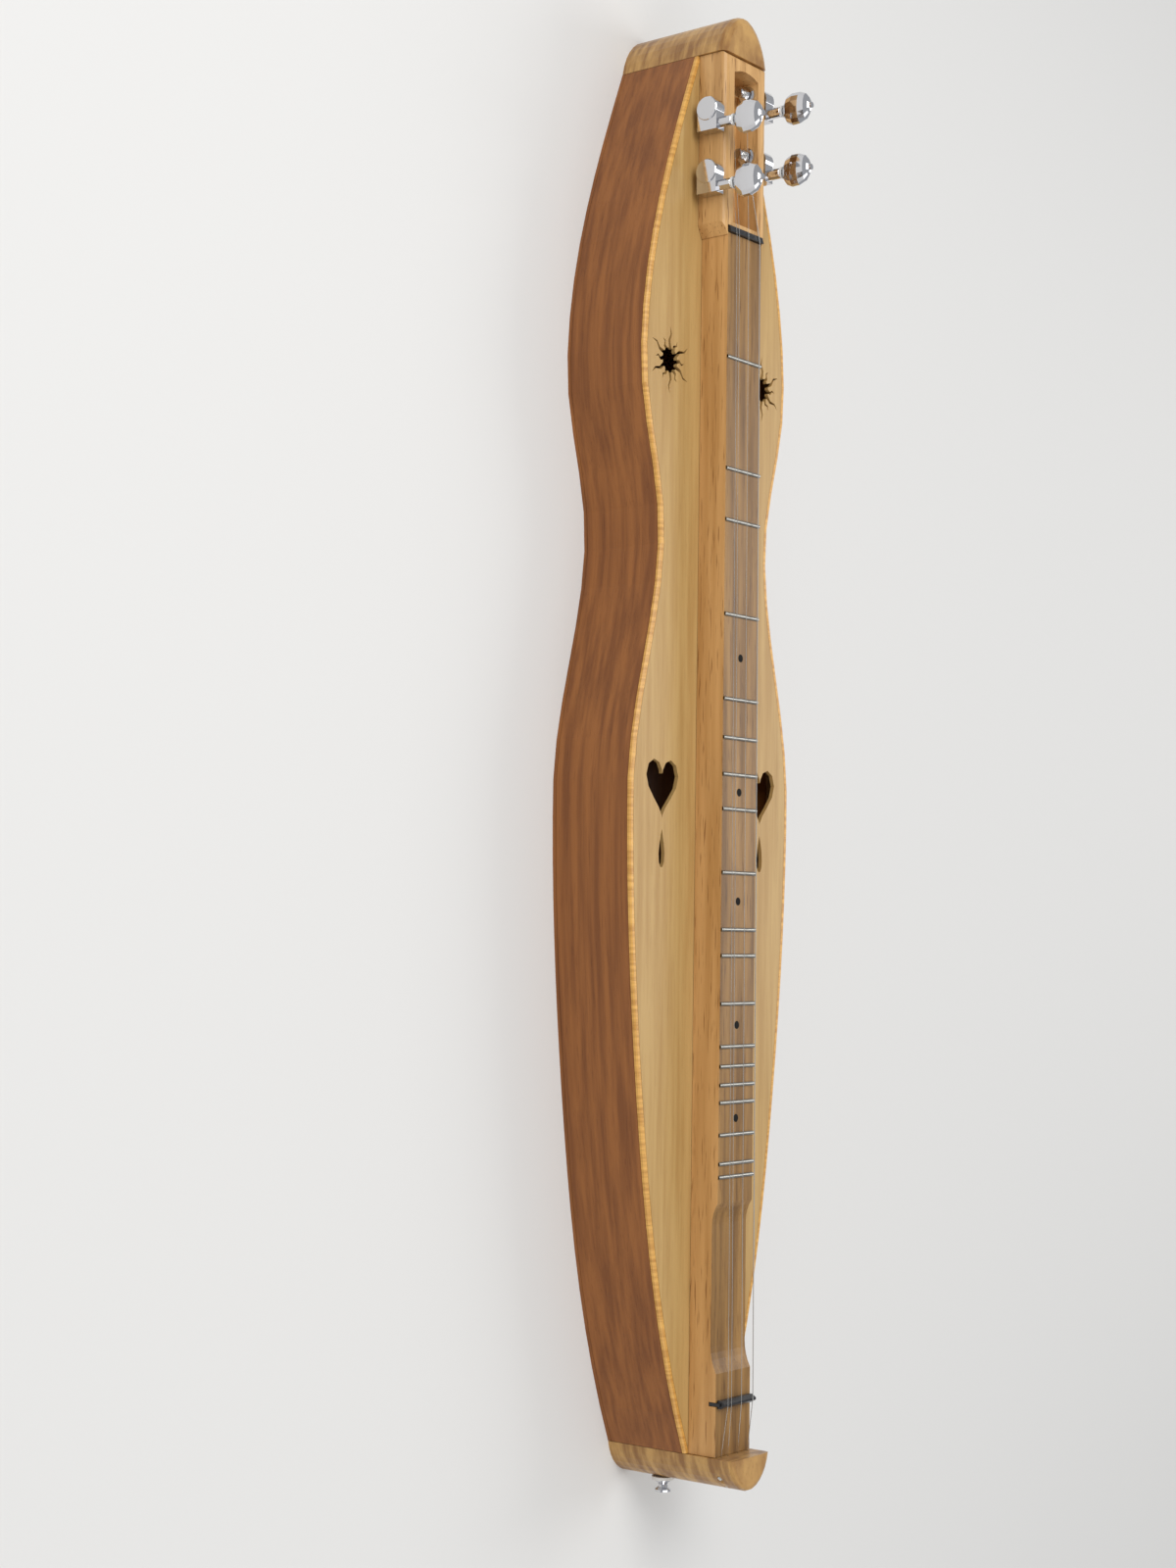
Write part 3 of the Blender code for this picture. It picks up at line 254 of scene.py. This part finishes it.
# %% Woods
LONG = (7.0, 150.0, 150.0)
SIDE_WOOD = wood(
    "side_wood",
    tones=((0.31, 0.112, 0.026), (0.20, 0.066, 0.015)),
    stretch=(7.0, 90.0, 220.0),
    flecks=0.30,
    roughness=0.45,
)
SPRUCE = wood(
    "soundboard_wood",
    tones=((0.50, 0.32, 0.12), (0.42, 0.25, 0.085)),
    stretch=(10.0, 190.0, 60.0),
    flecks=0.15,
    roughness=0.45,
)
FLAME = wood(
    "block_wood",
    tones=((0.52, 0.30, 0.10), (0.27, 0.13, 0.042)),
    stretch=(40.0, 60.0, 210.0),
    flecks=0.2,
    roughness=0.35,
)
EDGE = wood(
    "binding_wood",
    tones=((0.72, 0.40, 0.10), (0.52, 0.25, 0.055)),
    stretch=(420.0, 30.0, 30.0),
    flecks=0.4,
    roughness=0.35,
)
BOARD = wood(
    "fretboard_wood",
    tones=((0.64, 0.36, 0.135), (0.50, 0.26, 0.085)),
    stretch=LONG,
    flecks=0.7,
    roughness=0.42,
    top=((0.33, 0.175, 0.050), (0.175, 0.085, 0.022)),
)
CHEEK = wood(
    "pegbox_wood",
    tones=((0.66, 0.39, 0.155), (0.50, 0.27, 0.095)),
    stretch=LONG,
    flecks=0.9,
    roughness=0.42,
)
INNER = wood(
    "inner_wood",
    tones=((0.55, 0.38, 0.20), (0.45, 0.29, 0.14)),
    stretch=LONG,
    flecks=0.1,
    roughness=0.7,
)
print("woods:", [made.name for made in (SIDE_WOOD, SPRUCE, FLAME, EDGE, BOARD, CHEEK, INNER)])

# %% [markdown]
# ## Metal, plastic and felt
# Tuners, strings, nut, bridge and washers are small and evenly finished on the real instrument. Noise
# would give them some wear, but at their size plain values on the shader were chosen as the simplest
# way, so every one of them is a single colour with its roughness.

# %% Plain finishes
USUAL_SPECULAR = 0.5


def plain(name, colour, roughness, metallic=0.0, specular=USUAL_SPECULAR):
    """A Principled finish with one colour."""
    made = bpy.data.materials.new(name)
    made.use_nodes = True
    shader = made.node_tree.nodes["Principled BSDF"]
    shader.inputs["Base Color"].default_value = (*colour, 1.0)
    shader.inputs["Roughness"].default_value = roughness
    shader.inputs["Metallic"].default_value = metallic
    shader.inputs["Specular IOR Level"].default_value = specular
    return made


BLACK = plain("black_bone", (0.012, 0.012, 0.014), roughness=0.3)
STEEL = plain("string_steel", (0.72, 0.71, 0.68), roughness=0.25, metallic=1.0)
CHROME = plain("tuner_chrome", (0.66, 0.66, 0.68), roughness=0.07, metallic=1.0)
BRASS = plain("gear_brass", (0.72, 0.50, 0.20), roughness=0.3, metallic=1.0)
NYLON = plain("washer_nylon", (0.80, 0.80, 0.78), roughness=0.5)
FELT = plain("washer_felt", (0.72, 0.70, 0.66), roughness=0.95)
print("plain finishes:", [made.name for made in (BLACK, STEEL, CHROME, BRASS, NYLON, FELT)])

# %% [markdown]
# ## Which solid gets which finish
# There are 59 solids, and most share a finish with others, so they are told apart by a word in their
# names. Each takes the first rule whose word its name holds, which is why narrow words come before wide
# ones: strap_washer before _washer, and brace_ before back.

# %% Finishes by name
RULES = (
    ("strap_washer", FELT),
    ("_washer", NYLON),
    ("_gear", BRASS),
    ("_string", STEEL),
    ("_winding", STEEL),
    ("_tuner_", CHROME),
    ("strap_", CHROME),
    ("binding_", EDGE),
    ("lining_", INNER),
    ("brace_", INNER),
    ("soundboard", SPRUCE),
    ("block", FLAME),
    ("fretboard", BOARD),
    ("pegbox", CHEEK),
    ("nut", BLACK),
    ("bridge", BLACK),
    ("side_", SIDE_WOOD),
    ("back", SIDE_WOOD),
)
for name, node in nodes.items():
    finish = next(found for word, found in RULES if word in name)
    node.data.materials.clear()
    node.data.materials.append(finish)
print("finishes set on", len(nodes), "solids")

# %% [markdown]
# ## A mesh that rides on the instrument
# A new piece is a mesh worked out as arrays. Its faces are turned to point outwards, it is shaded smooth
# up to an angle that keeps its real edges sharp, and it rides on a body, so that it moves with it.

# %% Ridden pieces
SHARP_EDGE_DEGREES = 40


def piece(name, surface, finish, body):
    """Make a finished mesh from (points, faces), give it its finish and let it ride on a body."""
    points, faces = surface
    mesh = bpy.data.meshes.new(name)
    mesh.from_pydata(points.tolist(), [], faces)
    mesh.materials.append(finish)
    mesh.shade_smooth()
    mesh.set_sharp_from_angle(angle=math.radians(SHARP_EDGE_DEGREES))
    made = bpy.data.objects.new(name, mesh)
    bpy.context.scene.collection.objects.link(made)
    bpy.context.view_layer.objects.active = made
    made.select_set(True)
    bpy.ops.object.mode_set(mode="EDIT")
    bpy.ops.mesh.select_all(action="SELECT")
    bpy.ops.mesh.normals_make_consistent(inside=False)
    bpy.ops.object.mode_set(mode="OBJECT")
    made.select_set(False)
    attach(made, body)
    print(name, "has", len(mesh.polygons), "faces")


print("edges over", SHARP_EDGE_DEGREES, "degrees stay sharp")

# %% [markdown]
# ## Fret wires
# A fret is a metal wire with a round crown, pressed into the board across its whole width. The solid has
# only low ridges in their places. A bevelled curve would make each crown, but all of them at once are one
# small grid of fret, end and arc: half a cylinder over each ridge, closed below and at both ends.

# %% Frets
CROWN_RADIUS = 0.00130
CROWN_STEPS = 12


def fret_surface():
    """Points (x_n + r cos u, +-half board, top + r sin u), u from 0 to pi, closed all round."""
    x = fret_x(np.array(FRET_SEMITONES))
    u = np.linspace(0, np.pi, CROWN_STEPS + 1)
    y = np.array((-HALF_BOARD, HALF_BOARD))
    points = np.zeros((len(x), 2, len(u), 3))
    points[..., 0] = x[:, None, None] + CROWN_RADIUS * np.cos(u)
    points[..., 1] = y[None, :, None]
    points[..., 2] = BOARD_TOP + CROWN_RADIUS * np.sin(u)
    arc = len(u)
    first = np.arange(len(x))[:, None] * 2 * arc
    low = first + np.arange(arc - 1)
    quads = np.stack((low, low + 1, low + 1 + arc, low + arc), -1).reshape(-1, 4)
    start = first[:, 0]
    base = np.stack((start, start + arc, start + 2 * arc - 1, start + arc - 1), -1)
    near = first + np.arange(arc)
    far = near + arc
    faces = quads.tolist() + base.tolist() + near[:, ::-1].tolist() + far.tolist()
    return points.reshape(-1, 3), faces


WIRE = plain("fret_wire", (0.34, 0.33, 0.30), roughness=0.3, metallic=1.0)
piece("fret_wires", fret_surface(), WIRE, "instrument")

# %% [markdown]
# ## Position dots
# Five black dots mark positions, each in the middle of the board and halfway between two frets. They could
# be a pattern in the board's material, but as real inlays they keep a sharp round edge close up. Each is
# a short cylinder that starts in the wood and ends a hair above it, so that no two faces lie together.

# %% Dots
DOT_RADIUS = 0.0025
DOT_PROUD = 0.00006
DOT_SUNK = 0.00040
DOT_STEPS = 32


def dot_surface():
    """Short cylinders (x + r cos u, r sin u, z) with both ends closed."""
    x = fret_x(np.array(DOT_SPACES)).mean(axis=1)
    u = 2 * np.pi * np.arange(DOT_STEPS) / DOT_STEPS
    z = BOARD_TOP + np.array((-DOT_SUNK, DOT_PROUD))
    points = np.zeros((len(x), 2, DOT_STEPS, 3))
    points[..., 0] = x[:, None, None] + DOT_RADIUS * np.cos(u)
    points[..., 1] = DOT_RADIUS * np.sin(u)
    points[..., 2] = z[None, :, None]
    lower = np.arange(len(x))[:, None] * 2 * DOT_STEPS + np.arange(DOT_STEPS)
    beside = np.roll(lower, -1, axis=1)
    quads = np.stack((lower, beside, beside + DOT_STEPS, lower + DOT_STEPS), -1).reshape(-1, 4)
    faces = quads.tolist() + lower[:, ::-1].tolist() + (lower + DOT_STEPS).tolist()
    return points.reshape(-1, 3), faces


INLAY = plain("dot_inlay", (0.010, 0.009, 0.008), roughness=0.75, specular=0.15)
piece("position_dots", dot_surface(), INLAY, "instrument")

# %% [markdown]
# ## Floor and light
# The part lies on a plain pale floor. Three soft square lights stand round it: a key on the melody side of
# the head, a weaker one towards the tail, and one behind. One lamp alone would leave the far side dark, and
# an even world alone would hide the forms, so a dim world only fills what the lamps leave.

# %% Stage
FLOOR_REACH = 4.0
FLOOR_CORNERS = ((-1, -1), (1, -1), (1, 1), (-1, 1))
SKY_COLOUR = (0.95, 0.97, 1.0, 1.0)
SKY_STRENGTH = 0.45

floor_mesh = bpy.data.meshes.new("floor")
floor_mesh.from_pydata([(FLOOR_REACH * x, FLOOR_REACH * y, 0) for x, y in FLOOR_CORNERS], [], [(0, 1, 2, 3)])
floor_mesh.materials.append(plain("floor_paint", (0.72, 0.71, 0.69), roughness=0.8))
floor = bpy.data.objects.new("floor", floor_mesh)
bpy.context.scene.collection.objects.link(floor)


def area_light(name, place, power, width):
    """A square soft light: place and width in metres, power in watts, turned to the frame's origin."""
    data = bpy.data.lights.new(name, "AREA")
    data.energy = power
    data.size = width
    made = bpy.data.objects.new(name, data)
    made.location = place
    made.rotation_euler = (-Vector(place)).to_track_quat("-Z", "Y").to_euler()
    bpy.context.scene.collection.objects.link(made)


area_light("key_light", place=(0.9, 0.9, 1.7), power=26, width=1.2)
area_light("fill_light", place=(-1.2, 0.6, 1.3), power=9, width=1.5)
area_light("back_light", place=(0.2, -1.5, 1.2), power=8, width=1.0)
world = bpy.data.worlds.new("studio")
world.use_nodes = True
sky = world.node_tree.nodes["Background"]
sky.inputs["Color"].default_value = SKY_COLOUR
sky.inputs["Strength"].default_value = SKY_STRENGTH
bpy.context.scene.world = world
lights = [made.name for made in bpy.data.objects if made.type == "LIGHT"]
print("lights:", lights, "floor", 2 * FLOOR_REACH, "m wide")

# %% [markdown]
# ## Camera
# The photograph looks down on the instrument from its melody side, with the head at the top of the frame.
# Three angles could say this, but a place, an aim and a roll are easier to picture. The camera stands at
# the place, looks at the aim, holds the head upwards, and is then rolled about its view. Stations are
# metres from the nut towards the tail, sides are metres from the middle, and the aim is level with the
# board's top. The sensor is 36 mm along the picture's longer edge.

# %% Camera
CAMERA_STATION = 0.44120
CAMERA_SIDE = 1.26234
CAMERA_HEIGHT = 0.95221
AIM_STATION = 0.35454
AIM_SIDE = 0.15263
ROLL_DEGREES = 0.812
LENS_MM = 56.48
SENSOR_MM = 36.0
NEAREST = 0.05
HEADWARDS = Vector((1, 0, 0))

stand = Vector((NUT_X - CAMERA_STATION, CAMERA_SIDE, CAMERA_HEIGHT))
aim = Vector((NUT_X - AIM_STATION, AIM_SIDE, BOARD_TOP))
back = (stand - aim).normalized()
right = HEADWARDS.cross(back).normalized()
upright = Matrix((right, back.cross(right), back)).transposed()
rolled = Matrix.Rotation(math.radians(ROLL_DEGREES), 3, back) @ upright
camera_data = bpy.data.cameras.new("camera")
camera_data.lens = LENS_MM
camera_data.sensor_width = SENSOR_MM
camera_data.clip_start = NEAREST
camera = bpy.data.objects.new("camera", camera_data)
camera.matrix_world = Matrix.Translation(stand) @ rolled.to_4x4()
bpy.context.scene.collection.objects.link(camera)
bpy.context.scene.camera = camera
bpy.context.scene.view_settings.view_transform = "Standard"
print("camera at", [round(c, 3) for c in stand], "looking at", [round(c, 3) for c in aim])
